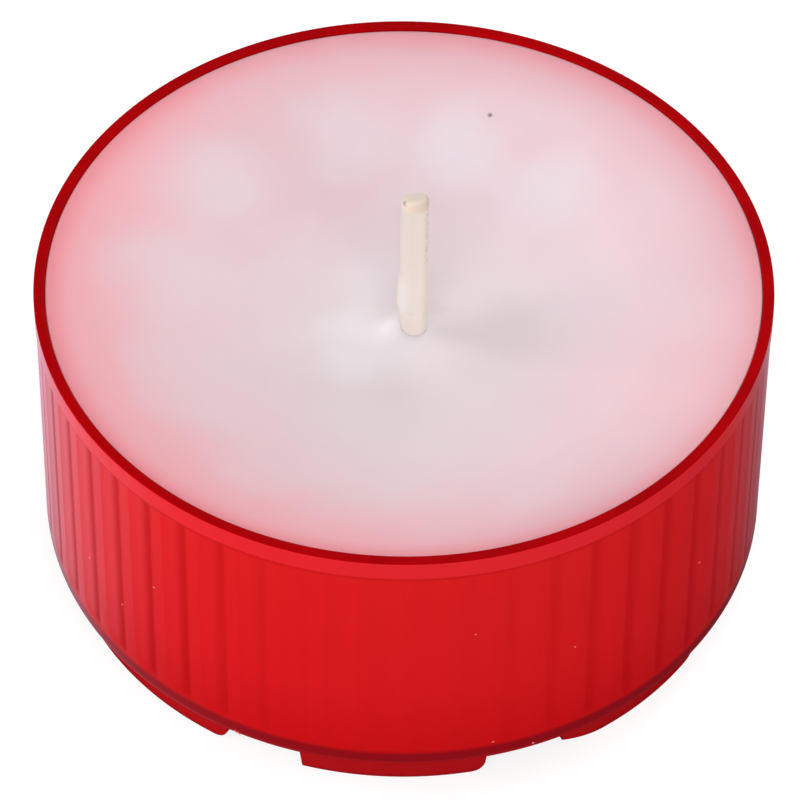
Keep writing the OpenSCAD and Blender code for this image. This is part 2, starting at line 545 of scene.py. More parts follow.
@dataclass(frozen=True)
class WaxedCotton(Finish):
    """Cream braided cotton under a skin of wax, whiter where a bead of wax hangs on it, and lighter
    on its right side with painted light.
    """

    name: str = "waxed_cotton"
    cream: Colour = (0.68, 0.62, 0.56)
    skin: Colour = (0.70, 0.67, 0.62)
    tip: Colour = (0.77, 0.65, 0.54)
    dark_mark: Colour = (0.34, 0.25, 0.24)
    painted_fill: Colour = (0.86, 0.79, 0.71)
    notch: Vertex = (-0.03, -0.76, 25.12)

    def paint(self, graph: Graph) -> None:
        """Makes the nodes.

        Args:
            graph: The material's empty node tree.
        """
        place = graph.millimetres()
        x, _, z = graph.axes(place)
        fibre = graph.streaks(place, (6, 6, 1.2))
        bead = z.smooth(16.4, 17.2) * (1 - z.smooth(18.6, 20.0))
        colour = graph.mix(bead + (fibre - 0.5) * 0.5, self.cream, self.skin)
        # Painted light: lightens the wick's right side, which the lamps leave in shade.
        colour = graph.mix(x.smooth(0.0, 1.15), colour, self.painted_fill)
        colour = graph.mix(z.smooth(24.5, 24.85), colour, self.tip)
        # Dark specks along the wick's right edge, above the bead.
        nicks = graph.noise(place, 5.0, 1.0).smooth(0.54, 0.62) * x.smooth(1.02, 1.12)
        colour = graph.mix(nicks * z.smooth(20.0, 21.0) * 0.35, colour, self.dark_mark)
        # A dark notch at the cut end.
        near = graph.away(place, self.notch)
        colour = graph.mix((1 - near.smooth(0.06, 0.24)) * 0.7, colour, self.dark_mark)
        graph.principled(
            {
                "Base Color": colour,
                "Roughness": 0.45 + fibre * 0.15,
                "Specular IOR Level": 0.3,
                "Subsurface Weight": 0.2,
                "Subsurface Radius": (1.0, 0.8, 0.6),
                "Subsurface Scale": 0.5 * MM,
                "Normal": graph.bump(fibre, 0.02, 0.5),
            }
        )


@dataclass(frozen=True)
class Tinplate(Finish):
    """Thin tinned steel with the fine streaks of rolling."""

    name: str = "tinplate"
    colour: Colour = (0.66, 0.66, 0.68)
    shade: Colour = (0.52, 0.52, 0.54)

    def paint(self, graph: Graph) -> None:
        """Makes the nodes.

        Args:
            graph: The material's empty node tree.
        """
        streaks = graph.streaks(graph.millimetres(), (0.4, 9, 0.4))
        graph.principled(
            {
                "Base Color": graph.mix(streaks, self.colour, self.shade),
                "Metallic": 1.0,
                "Roughness": 0.26 + streaks * 0.16,
                "Normal": graph.bump(streaks, 0.004, 0.5),
            }
        )


@dataclass(frozen=True)
class Lint(Finish):
    """Pale dust and crumbs of wax."""

    name: str = "lint"
    pale: Colour = (0.78, 0.13, 0.13)
    white: Colour = (0.86, 0.38, 0.36)

    def paint(self, graph: Graph) -> None:
        """Makes the nodes.

        Args:
            graph: The material's empty node tree.
        """
        grain = graph.noise(graph.millimetres(), 4.0)
        graph.principled(
            {
                "Base Color": graph.mix(grain.smooth(0.4, 0.6), self.pale, self.white),
                "Roughness": 0.7,
            }
        )


@dataclass(frozen=True)
class StudioFloor(Finish):
    """White studio floor that shows white to the camera and keeps the object's soft shadow.

    The cup's wall mirrors a painted pool of light, which only reflections see, that fades along a
    slope and ends in painted shade under the cup.
    """

    name: str = "studio_floor"
    glow: float = 0.78
    shown: float = 0.36
    plain: float = 0.45
    tint: Colour = (0.74, 0.82, 1.0)
    slope: Point = (0.5, -1.0)
    pool: tuple[Point, ...] = (
        (-22.0, 1.0),
        (-12.0, 0.78),
        (-2.0, 0.62),
        (1.2, 0.47),
        (5.0, 0.29),
        (9.0, 0.22),
        (16.4, 0.07),
        (24.0, 0.04),
    )
    span: float = 100.0
    # Painted shade under the cup, as reflections see it.
    under: Colour = (0.02, 0.0, 0.0)
    pool_light: float = 2.2
    pool_edge: Point = (17.9, 18.8)

    def paint(self, graph: Graph) -> None:
        """Makes the nodes.

        Args:
            graph: The material's empty node tree.
        """
        x, y, _ = graph.axes(graph.millimetres())
        along = x * self.slope[0] + y * self.slope[1]
        tones = [tuple(level * part for part in self.tint) for _, level in self.pool]
        stops = [(0.5 + at / self.span, tone) for (at, _), tone in zip(self.pool, tones)]
        pool = graph.add("ShaderNodeValToRGB", {"stops": stops}, {0: along * (1 / self.span) + 0.5})
        # Painted shade: the reflected pool turns dark red near and under the cup.
        far = (x * x + y * y).smooth(*(radius**2 for radius in self.pool_edge))
        pool = graph.mix(far, self.under, pool)
        mirrored = graph.glow(pool, self.pool_light)
        lit, plain = (
            graph.add("ShaderNodeBsdfDiffuse", inputs={"Color": (grey, grey, grey, 1)})
            for grey in (self.shown, self.plain)
        )
        shown = graph.add("ShaderNodeAddShader", inputs={0: lit, 1: graph.glow(WHITE, self.glow)})
        seen = graph.rays("Is Camera Ray", "Is Transmission Ray")
        mixed = graph.add("ShaderNodeMixShader", inputs={0: seen, 1: plain, 2: shown})
        # Reflections see the painted pool, not the lit floor.
        glossy = graph.rays("Is Glossy Ray")
        mixed = graph.add("ShaderNodeMixShader", inputs={0: glossy, 1: mixed, 2: mirrored})
        graph.add("ShaderNodeOutputMaterial", inputs={"Surface": mixed})


# ---- meshes


def placed(name: str, data: bpy.types.ID, *finishes: Finish) -> bpy.types.Object:
    """Puts a new object into the scene.

    Args:
        name: The object's name.
        data: Its mesh, lamp or camera.
        finishes: Finishes of a mesh, the first of which all faces take.

    Returns:
        The object.
    """
    made = bpy.data.objects.new(name, data)
    bpy.context.scene.collection.objects.link(made)
    for finish in finishes:
        data.materials.append(finish.material())
    return made


def poured(skin: bmesh.types.BMesh, mesh: bpy.types.Mesh) -> bpy.types.Mesh:
    """Pours a finished skin into a mesh.

    Args:
        skin: The skin, which is freed.
        mesh: The mesh that takes its points and faces.

    Returns:
        The mesh.
    """
    skin.to_mesh(mesh)
    skin.free()
    return mesh


def share_of(value: float, low: float, width: float) -> float:
    """Gives how far a value lies along a span from its low end, held between 0 and 1."""
    return min(1.0, max(0.0, (value - low) / width))


def eased(share: float) -> float:
    """Gives a share from 0 to 1 a soft start and end."""
    return share * share * (3 - 2 * share)


def spread(columns: int) -> np.ndarray:
    """Gives the azimuths of this many columns of points, evenly spread."""
    return np.arange(columns) * 360 / columns


@dataclass
class Loft:
    """Closed skin over rings of points that lie one inside or above the other.

    A ring of one point is a pole. Points that fall together are welded.
    """

    rings: list[np.ndarray] = field(default_factory=list)
    creased_rings: list[int] = field(default_factory=list)
    creased_lines: list[tuple[int, int, int]] = field(default_factory=list)

    def ring(self, points: np.ndarray, creased: bool = False) -> int:
        """Adds a ring.

        Args:
            points: Its points, one a row, in millimetres.
            creased: Whether the skin has a sharp edge along it.

        Returns:
            The ring's number.
        """
        self.rings.append(np.atleast_2d(points))
        if creased:
            self.creased_rings.append(len(self.rings) - 1)
        return len(self.rings) - 1

    def crease_line(self, column: int, first: int, last: int) -> None:
        """Makes a sharp edge along a column of points, from the first ring to the last one."""
        self.creased_lines.append((column, first, last))

    def build(self, name: str, *finishes: Finish, endless: bool = False) -> bpy.types.Object:
        """Makes the object.

        Args:
            name: The object's name.
            finishes: Its finishes, the first of which all faces take.
            endless: Whether the last ring joins the first one, as round a bore.

        Returns:
            The object, linked to the scene.
        """
        starts = np.cumsum([0, *(len(ring) for ring in self.rings)]).tolist()
        pairs = [(i, i + 1) for i in range(len(self.rings) - 1)]
        if endless:
            pairs.append((len(self.rings) - 1, 0))
        faces = []
        for low, high in pairs:
            sizes = len(self.rings[low]), len(self.rings[high])
            for column in range(max(sizes)):
                corners = (
                    starts[low] + column % sizes[0],
                    starts[high] + column % sizes[1],
                    starts[high] + (column + 1) % sizes[1],
                    starts[low] + (column + 1) % sizes[0],
                )
                faces.append(tuple(dict.fromkeys(corners)))
        mesh = bpy.data.meshes.new(name)
        mesh.from_pydata((np.vstack(self.rings) * MM).tolist(), [], faces)
        skin = bmesh.new()
        skin.from_mesh(mesh)
        skin.verts.ensure_lookup_table()
        for face in skin.faces:
            face.smooth = True
        for ring in self.creased_rings:
            size = len(self.rings[ring])
            for column in range(size):
                self._crease(skin, starts[ring] + column, starts[ring] + (column + 1) % size)
        for column, first, last in self.creased_lines:
            for ring in range(first, last):
                self._crease(skin, starts[ring] + column, starts[ring + 1] + column)
        bmesh.ops.remove_doubles(skin, verts=skin.verts, dist=1e-7)
        bmesh.ops.dissolve_degenerate(skin, edges=skin.edges, dist=1e-8)
        bmesh.ops.recalc_face_normals(skin, faces=skin.faces)
        return placed(name, poured(skin, mesh), *finishes)

    @staticmethod
    def _crease(skin: bmesh.types.BMesh, first: int, second: int) -> None:
        """Makes an edge sharp.

        Args:
            skin: The skin that it is in.
            first: Number of one vertex.
            second: Number of another one, which may have no edge to the first.
        """
        edge = skin.edges.get((skin.verts[first], skin.verts[second]))
        if edge is not None:
            edge.smooth = False


def turned(azimuths: np.ndarray, radii: Any, heights: Any, centre: Point = (0, 0)) -> np.ndarray:
    """Places points round an upright axis.

    Args:
        azimuths: Their azimuths, in degrees.
        radii: Their distances from the axis.
        heights: Their heights.
        centre: The axis's place.

    Returns:
        One point a row.
    """
    angles = np.radians(azimuths)
    return np.column_stack(
        [
            centre[0] + radii * np.sin(angles),
            centre[1] - radii * np.cos(angles),
            np.broadcast_to(heights, angles.shape),
        ]
    )


def rounded(corner: Point, first: Point, second: Point, radius: float, steps: int) -> list[Point]:
    """Rounds a corner of a half section.

    Args:
        corner: The sharp corner, as radius and height.
        first: Direction of the side that the rounding starts on, away from the corner.
        second: Direction of the side that it ends on.
        radius: Radius of the rounding.
        steps: Number of its straight pieces.

    Returns:
        Its points, from the first side to the second.
    """
    p, a, b = (np.array(v, float) for v in (corner, first, second))
    half = acos(float(a @ b)) / 2
    middle = p + (a + b) / np.linalg.norm(a + b) * radius / sin(half)
    start, end = (p + side * radius / tan(half) - middle for side in (a, b))
    angle = atan2(start[1], start[0])
    turn = (atan2(end[1], end[0]) - angle + pi) % (2 * pi) - pi
    angles = (angle + turn * i / steps for i in range(steps + 1))
    return [(middle[0] + radius * cos(at), middle[1] + radius * sin(at)) for at in angles]


# ---- the candle's pieces


class Zone(Enum):
    """How a row of the cup's half section changes round the cup."""

    PLAIN = "plain"
    FLUTED = "fluted"
    FOOT = "foot"


@dataclass
class CupMoulding:
    """The injection-moulded cup: drafted wall, smooth band, hollow flutes and parted foot ring."""

    rim_radius: float = 19.0
    height: float = 18.1
    wall: float = 0.58
    floor: float = 0.9
    draft: float = 1.36
    corner: float = 0.8
    inner_corner: float = 0.45
    rim_edge: float = 0.08
    rim_drop: float = 0.048
    lip: float = 0.25
    flutes: int = 51
    flute_radius: float = 12.5
    flute_depth: float = 0.045
    flute_low: float = 3.1
    band: float = 1.2
    band_step: float = 0.05
    rib_azimuth: float = 1.2
    foot_height: float = 1.7
    foot_thickness: float = 0.8
    foot_inset: float = 0.95
    feet: int = 8
    gap: float = 3.9
    gap_draft: float = 7.5
    foot_corner: float = 0.7
    foot_edge: float = 0.06
    foot_azimuth: float = -1.1
    worn_azimuth: float = 28.4
    worn_width: float = 8.0
    worn_height: float = 0.55
    worn_bend: float = 1.7
    gate_recess: float = 2.0
    gate_recess_depth: float = 0.2
    gate_stub: float = 0.45
    gate_stub_height: float = 0.12
    hollow_steps: int = 8
    column_room: float = 0.08
    crease_room: float = 0.1

    @property
    def pitch(self) -> float:
        """Azimuth from one flute to the next."""
        return 360 / self.flutes

    @property
    def hollow_middles(self) -> np.ndarray:
        """Azimuths of the middles of the flutes."""
        return self.rib_azimuth + (np.arange(self.flutes) + 0.5) * self.pitch

    @property
    def floor_z(self) -> float:
        """Height of the cup's floor, inside."""
        return self.foot_height + self.floor

    @property
    def rib_radius(self) -> float:
        """Radius of the ribs, taken up to the rim's height."""
        return self.rim_radius - self.band_step

    @property
    def rise(self) -> Point:
        """Direction that the wall rises in, in the half section."""
        return sin(radians(self.draft)), cos(radians(self.draft))

    @property
    def fall(self) -> Point:
        """Direction that the wall falls in, in the half section."""
        return -self.rise[0], -self.rise[1]

    @property
    def foot_radius(self) -> float:
        """Outer radius of the foot ring."""
        return self.drafted(self.rib_radius, self.foot_height) - self.foot_inset

    def drafted(self, top_radius: float, z: float) -> float:
        """Radius at height z of a drafted wall that has the top radius at the rim's height."""
        return top_radius - (self.height - z) * tan(radians(self.draft))

    def rib_edge(self) -> float:
        """Gives half the azimuth that a hollow takes up."""
        outer = self.drafted(self.rib_radius, self.height / 2)
        middle = outer - self.flute_depth + self.flute_radius
        return np.degrees(
            acos((outer**2 + middle**2 - self.flute_radius**2) / (2 * outer * middle))
        )

    def rib_columns(self) -> np.ndarray:
        """Gives the azimuths of the edges of the ribs, from 0 to 360."""
        middles, edge = self.hollow_middles, self.rib_edge()
        return np.sort(np.round(np.concatenate([middles - edge, middles + edge]) % 360, 2))

    def gap_outline(self) -> list[Point]:
        """Gives the lower edge of the foot ring across one gap, as azimuth and height.

        Returns:
            The outline from the rounded end of one foot to the square end of the next.
        """
        flare = self.foot_height * tan(radians(self.gap_draft))
        low = self.gap / 2 + flare
        side = np.array([flare, self.foot_height]) / hypot(flare, self.foot_height)
        bend = rounded((-low, 0), (-1, 0), tuple(side), self.foot_corner, 5)
        square = rounded((low, 0), (-side[0], side[1]), (1, 0), self.foot_edge, 2)
        roof = [(end * self.gap / 2, self.foot_height) for end in (-1, 1)]
        points = [*bend, *roof, *square]
        return [(np.degrees(np.arcsin(x / self.foot_radius)), z) for x, z in points]

    def worn(self, azimuths: np.ndarray) -> np.ndarray:
        """Wears the end of the foot to the right of the front one.

        Args:
            azimuths: Azimuths round the foot ring.

        Returns:
            How far it stands off the table at each of them.
        """
        share = np.clip(1 - (azimuths - self.worn_azimuth) / self.worn_width, 0, 1)
        height = self.worn_height * share**self.worn_bend
        return np.where(azimuths < self.worn_azimuth, 0, height)

    def foot_outline(self) -> tuple[np.ndarray, np.ndarray]:
        """Gives the foot ring's lower edge all round.

        Returns:
            Azimuths from below 0 to above 360, in order, and the heights there.
        """
        azimuths, heights = [], []
        outline = self.gap_outline()
        for index in range(-1, self.feet + 1):
            middle = self.foot_azimuth + (index + 0.5) * 360 / self.feet
            azimuths += [round(middle + offset, 2) for offset, _ in outline]
            heights += [z for _, z in outline]
        return np.array(azimuths), np.array(heights)

    def columns(self) -> np.ndarray:
        """Gives the azimuths of all columns of points, from 0 to 360."""
        edge = self.rib_edge()
        hollow = np.linspace(-edge, edge, self.hollow_steps + 1)[1:-1]
        offsets = np.concatenate([hollow, [self.pitch / 2]])
        inner = (self.hollow_middles[:, None] + offsets).ravel() % 360
        foot = self.foot_outline()[0]
        fixed = np.unique(np.concatenate([self.rib_columns(), foot[(foot >= 0) & (foot < 360)]]))
        room = np.abs(inner[:, None] - fixed[None, :]).min(axis=1)
        return np.unique(np.concatenate([fixed, np.round(inner[room > self.column_room], 2)]))

    @property
    def ball_z(self) -> float:
        """Height of the middle of the round lower ends of the flutes."""
        return self.flute_low + sqrt(self.flute_depth * (2 * self.flute_radius - self.flute_depth))

    def hollowed(self, azimuths: np.ndarray, radius: float, z: float) -> np.ndarray:
        """Cuts the flutes, each with a round lower end, into a row of the wall.

        Args:
            azimuths: The azimuths of the row's points.
            radius: The wall's radius between the flutes.
            z: The row's height.

        Returns:
            The radius at each point.
        """
        angle = np.radians((azimuths - self.rib_azimuth) % self.pitch - self.pitch / 2)
        middle = self.drafted(self.rib_radius, z) - self.flute_depth + self.flute_radius
        round_off = self.flute_radius**2 - max(0.0, self.ball_z - z) ** 2
        hollow = middle * np.cos(angle) - np.sqrt(round_off - (middle * np.sin(angle)) ** 2)
        return np.minimum(radius, hollow)

    def section(self) -> list[tuple[float, float, Zone, bool]]:
        """Gives the half section, from the middle of the floor over the rim to the underside.

        Returns:
            Radius, height, zone and crease of each row.
        """
        top, inner = self.height, self.rim_radius - self.wall
        band_z = top - self.band
        foot, root = self.foot_radius, self.foot_radius - self.foot_thickness
        rows: list[tuple[float, float, Zone, bool]] = []

        def add(points: Iterable[Point], zone: Zone = Zone.PLAIN, creased: bool = False) -> None:
            """Adds rows of one zone."""
            rows.extend((radius, z, zone, creased) for radius, z in points)

        add((radius, self.floor_z) for radius in (0.0, 5.0, 10.0, 14.0))
        corner = (self.drafted(inner, self.floor_z), self.floor_z)
        add(rounded(corner, (-1, 0), self.rise, self.inner_corner, 5))
        add((self.drafted(inner, z), z) for z in (3.5, 8.0, 13.0, 17.0, 17.9))
        add(rounded((inner, top), self.fall, (1, 0), self.rim_edge, 4))
        add([(self.rim_radius - self.wall / 2, top)])
        add(rounded((self.rim_radius, top), (-1, 0), self.fall, self.rim_edge, 4))
        add((self.drafted(self.rim_radius, z), z) for z in (17.9, 17.5, 17.05, 16.95))
        add([(self.drafted(self.rim_radius, band_z), band_z)], creased=True)
        add([(self.drafted(self.rib_radius, band_z), band_z)], Zone.FLUTED, True)
        ends = np.linspace(self.ball_z, self.flute_low, 9)
        heights = (16.8, 16.0, 12.5, 9.0, 5.5, *ends)
        add([(self.drafted(self.rib_radius, z), z) for z in heights], Zone.FLUTED)
        add([(self.drafted(self.rib_radius, z), z) for z in (2.9, 2.7)])
        low = (self.drafted(self.rib_radius, self.foot_height), self.foot_height)
        add(rounded(low, self.rise, (-1, 0), self.corner, 12))
        add([(foot, self.foot_height)], creased=True)
        add([(foot, self.foot_height / 3)], Zone.FOOT)
        add(rounded((foot, 0), (0, 1), (-1, 0), self.foot_edge, 4), Zone.FOOT)
        add(rounded((root, 0), (1, 0), (0, 1), self.foot_edge, 4), Zone.FOOT)
        add([(root, self.foot_height / 3)], Zone.FOOT)
        add([(root, self.foot_height)], creased=True)
        add((radius, self.foot_height) for radius in (13.0, 8.0, 4.0))
        deep = self.foot_height + self.gate_recess_depth
        stub = deep - self.gate_stub_height
        add([(self.gate_recess, z) for z in (self.foot_height, deep)], creased=True)
        add([(self.gate_stub, z) for z in (deep, stub)], creased=True)
        add([(0.0, stub)])
        return rows

    def build(self, wall: Finish, rim: Finish) -> bpy.types.Object:
        """Makes the cup.

        Args:
            wall: Finish of the moulding.
            rim: Finish of its flat rim.

        Returns:
            The object.
        """
        azimuths = self.columns()
        ring_low = np.maximum(np.interp(azimuths, *self.foot_outline()), self.worn(azimuths))
        skin = Loft()
        fluted = []
        for radius, z, zone, creased in self.section():
            radii, heights = np.full_like(azimuths, radius), np.full_like(azimuths, z)
            if zone is Zone.FLUTED:
                radii = self.hollowed(azimuths, radius, z)
            elif zone is Zone.FOOT:
                heights = np.minimum(ring_low + z, self.foot_height)
            points = turned(azimuths, radii, heights)
            number = skin.ring(points if radius else points[:1], creased)
            if zone is Zone.FLUTED and z > self.ball_z - self.crease_room:
                fluted.append(number)
        for column in np.searchsorted(azimuths, self.rib_columns()):
            skin.crease_line(int(column), fluted[0], fluted[-1])
        cup = skin.build("cup_moulding", wall, rim)
        rim_low, lip_low = self.height - self.rim_drop, self.height - self.lip
        middle = self.rim_radius - self.wall / 2
        for face in cup.data.polygons:
            low = lip_low if face.center.xy.length < middle * MM else rim_low
            face.material_index = int(face.center.z > low * MM)
        return cup


@dataclass
class Mound:
    """A soft rise or hollow in the wax's face, about a place beside the wick."""

    x: float
    y: float
    height: float
    width: float
    depth: float

    def at(self, x: float, y: float) -> float:
        """Gives its height at a place."""
        off_x, off_y = (x - self.x) / self.width, (y - self.y) / self.depth
        return self.height * exp(-(off_x**2) - off_y**2)


@dataclass
class WaxFill:
    """The poured wax: dished as it cooled, climbing the wick, bored for it and its sustainer."""

    cup: CupMoulding
    drop: float = 0.15
    gap: float = 0.02
    dish: float = 3.0
    climb: float = 0.5
    climb_radius: float = 2.9
    edge: float = 0.06
    wick_x: float = 0.5
    wick_y: float = -0.4
    wick_radius: float = 0.65
    sustainer_radius: float = 6.25
    sustainer_thickness: float = 0.25
    neck_height: float = 3.0
    neck_bend: float = 0.5
    clearance: float = 0.01
    ripple: float = 0.05
    ripple_length: float = 4.0
    ripple_seed: float = 7.3
    calm_width: float = 4.0
    wick_rings: float = 3.0
    centring: float = 12.0
    fine_radius: float = 4.0
    columns: int = 288
    mounds: list[Mound] = field(
        default_factory=lambda: [
            Mound(-1.15, 0.25, 0.42, 0.8, 0.75),
            Mound(0.2, 1.25, 0.30, 1.2, 0.7),
            Mound(-2.2, -0.9, 0.12, 2.4, 1.6),
            Mound(1.6, -1.2, 0.06, 1.2, 1.0),
        ]
    )

    @property
    def top_z(self) -> float:
        """Height of the wax's edge."""
        return self.cup.height - self.drop

    @property
    def radius(self) -> float:
        """Radius of the wax at its upper edge."""
        return self.side(self.top_z)

    def side(self, z: float) -> float:
        """Radius of the wax's side at a height."""
        return self.cup.drafted(self.cup.rim_radius - self.cup.wall, z) - self.gap

    def surface(self, x: float, y: float) -> float:
        """Gives the height of the wax's face.

        Args:
            x: Place to the right of the cup's axis.
            y: Place behind it.

        Returns:
            The height there.
        """
        bowl = (self.radius**2 + self.dish**2) / (2 * self.dish)
        off = hypot(x, y)
        height = self.top_z - self.dish + bowl - sqrt(bowl * bowl - off * off)
        from_wick = hypot(x - self.wick_x, y - self.wick_y)
        reach = self.climb_radius - self.wick_radius
        bend = (reach**2 + self.climb**2) / (2 * self.climb)
        out = max(0.0, min(reach, self.climb_radius - from_wick))
        height += bend - sqrt(bend * bend - out * out)
        height += sum(mound.at(x - self.wick_x, y - self.wick_y) for mound in self.mounds)
        calm = share_of(self.radius, off, self.calm_width)
        at = Vector((x, y, self.ripple_seed)) / self.ripple_length
        return height + self.ripple * calm * noise.fractal(at, 1.0, 2.0, 3)

    def centre(self, radius: float) -> Point:
        """Gives the middle of a ring: the wick near it, and the cup's axis further out."""
        left = 1 - eased(share_of(radius, self.wick_rings, self.centring))
        return self.wick_x * left, self.wick_y * left

    def build(self, finish: Finish) -> bpy.types.Object:
        """Makes the wax.

        Args:
            finish: Its finish.

        Returns:
            The object.
        """
        azimuths = spread(self.columns)
        skin = Loft()
        bore = self.wick_radius + self.clearance
        near = np.linspace(bore, self.fine_radius, 22)
        far = np.linspace(self.fine_radius, self.radius - 2 * self.edge, 44)[1:]
        for radius in (*near, *far):
            points = turned(azimuths, radius, 0.0, self.centre(radius))
            points[:, 2] = [self.surface(x, y) for x, y, _ in points]
            skin.ring(points, creased=radius == bore)
        floor = self.cup.floor_z
        outer = rounded((self.radius, self.top_z), (-1, 0), self.cup.fall, self.edge, 3)
        outer += [(self.side(z), z) for z in (17.6, 13.0, 8.0, 4.0)]
        corner = (self.side(floor), floor)
        outer += rounded(corner, self.cup.rise, (-1, 0), self.cup.inner_corner, 4)
        for radius, z in outer:
            skin.ring(turned(azimuths, radius, z))
        spare = self.clearance
        disc = self.sustainer_radius + spare
        disc_z = floor + self.sustainer_thickness + spare
        neck = self.wick_radius + self.sustainer_thickness + spare
        neck_z = floor + self.neck_height + spare
        bend = rounded((neck, disc_z), (1, 0), (0, 1), self.neck_bend, 4)
        inner = [(14.0, floor), (9.0, floor), (disc, floor), (disc, disc_z), *bend]
        inner += [(neck, neck_z), (bore, neck_z), (bore, (neck_z + self.top_z - self.dish) / 2)]
        for radius, z in inner:
            creased = (radius, z) in ((disc, floor), (disc, disc_z), (neck, neck_z), (bore, neck_z))
            skin.ring(turned(azimuths, radius, z, self.centre(radius)), creased)
        return skin.build("wax_fill", finish, endless=True)


@dataclass
class Wick:
    """The waxed braided wick, with a slanting cut end and a bead of wax low on it."""

    wax: WaxFill
    top_z: float = 25.5
    cut: float = 24.0
    cut_azimuth: float = 200.0
    lean: float = 0.5
    end_edge: float = 0.24
    end_rough: float = 0.03
    fine_z: float = 14.4
    step: float = 0.1
    braid: float = 0.012
    braid_pitch: float = 2.6
    bead_low: float = 1.55
    bead_swell: float = 0.28
    bead_high: float = 2.8
    bead_fade: float = 1.6
    bead: float = 0.09
    coat: float = 0.10
    columns: int = 64

    def stretch(self, azimuths: np.ndarray, z: float) -> np.ndarray:
        """Gives the wick's radius round it at a height.

        Args:
            azimuths: Azimuths round the wick, in degrees.
            z: The height.

        Returns:
            The radius at each azimuth.
        """
        base = self.wax.surface(self.wax.wick_x, self.wax.wick_y - self.wax.wick_radius)
        above = z - base
        clear = share_of(above, 0.0, 1.0)
        angle = np.radians(azimuths)
        turn = 2 * pi * z / self.braid_pitch
        strands = np.cos(2 * angle + turn) * np.cos(2 * angle - turn)
        radius = self.wax.wick_radius - self.braid * (0.5 - 0.5 * strands) * clear
        radius = radius + self.coat * clear * np.maximum(0, -np.sin(angle))
        swell = eased(share_of(above, self.bead_low, self.bead_swell))
        fade = eased(share_of(above, self.bead_high, self.bead_fade))
        lobes = 0.85 - 0.6 * np.sin(angle) + 0.15 * np.cos(3 * angle + 1.0)
        return radius + self.bead * (swell * (1 - fade)) * lobes

    def axis(self, z: float) -> Point:
        """Gives the middle of the wick at a height."""
        above = max(0.0, z - (self.wax.top_z - self.wax.dish))
        return self.wax.wick_x + tan(radians(self.lean)) * above, self.wax.wick_y

    def end_height(self, points: np.ndarray) -> np.ndarray:
        """Gives the height of the slanting cut.

        Args:
            points: Points of a ring, one a row.

        Returns:
            The height at each of them.
        """
        facing, slope = radians(self.cut_azimuth), tan(radians(self.cut))
        middle = self.axis(self.top_z)
        along = (points[:, 0] - middle[0]) * sin(facing) - (points[:, 1] - middle[1]) * cos(facing)
        return self.top_z - self.wax.wick_radius * slope - along * slope

    def build(self, finish: Finish) -> bpy.types.Object:
        """Makes the wick.

        Args:
            finish: Its finish.

        Returns:
            The object.
        """
        azimuths = spread(self.columns)
        floor = self.wax.cup.floor_z
        full = self.wax.wick_radius
        skin = Loft()
        skin.ring(np.array([[self.wax.wick_x, self.wax.wick_y, floor]]))
        skin.ring(turned(azimuths, full, floor, self.axis(floor)), creased=True)
        shoulder = self.top_z - 2 * full * tan(radians(self.cut)) - self.end_edge
        for z in (floor + 4, floor + 8, *np.arange(self.fine_z, shoulder - self.step, self.step)):
            skin.ring(turned(azimuths, self.stretch(azimuths, z), z, self.axis(z)))
        neat = self.stretch(azimuths, shoulder)
        end = turned(azimuths, neat, shoulder, self.axis(self.top_z))
        high = self.end_height(end)
        for share in (0.0, 0.25, 0.5, 0.75):
            points = end.copy()
            points[:, 2] = shoulder + (high - self.end_edge - shoulder) * share
            skin.ring(points)
        for angle in (0, 22.5, 45, 67.5, 90):
            radii = neat - self.end_edge * (1 - cos(radians(angle)))
            points = turned(azimuths, radii, 0.0, self.axis(self.top_z))
            points[:, 2] = self.end_height(points) - self.end_edge * (1 - sin(radians(angle)))
            skin.ring(points)
        for share in (0.66, 0.33):
            points = turned(azimuths, (neat - self.end_edge) * share, 0.0, self.axis(self.top_z))
            rough = [self.end_rough * noise.noise(Vector(point) * 3) for point in points]
            points[:, 2] = self.end_height(points) + rough
            skin.ring(points)
        tip = np.array([[*self.axis(self.top_z), 0.0]])
        tip[0, 2] = self.end_height(tip)[0]
        skin.ring(tip)
        return skin.build("waxed_wick", finish)


@dataclass
class Sustainer:
    """The stamped metal foot that holds the wick; its solid stays as it is."""

    node: bpy.types.Object

    def dress(self, finish: Finish) -> bpy.types.Object:
        """Gives the solid its finish.

        Args:
            finish: The finish.

        Returns:
            The object.
        """
        self.node.data.materials.clear()
        self.node.data.materials.append(finish.material())
        return self.node


@dataclass(frozen=True)
class Speck:
    """A crumb on the cup's wall: where it sits and how large it is."""

    azimuth: float
    z: float
    long: float
    wide: float
    tilt: float = 0.0


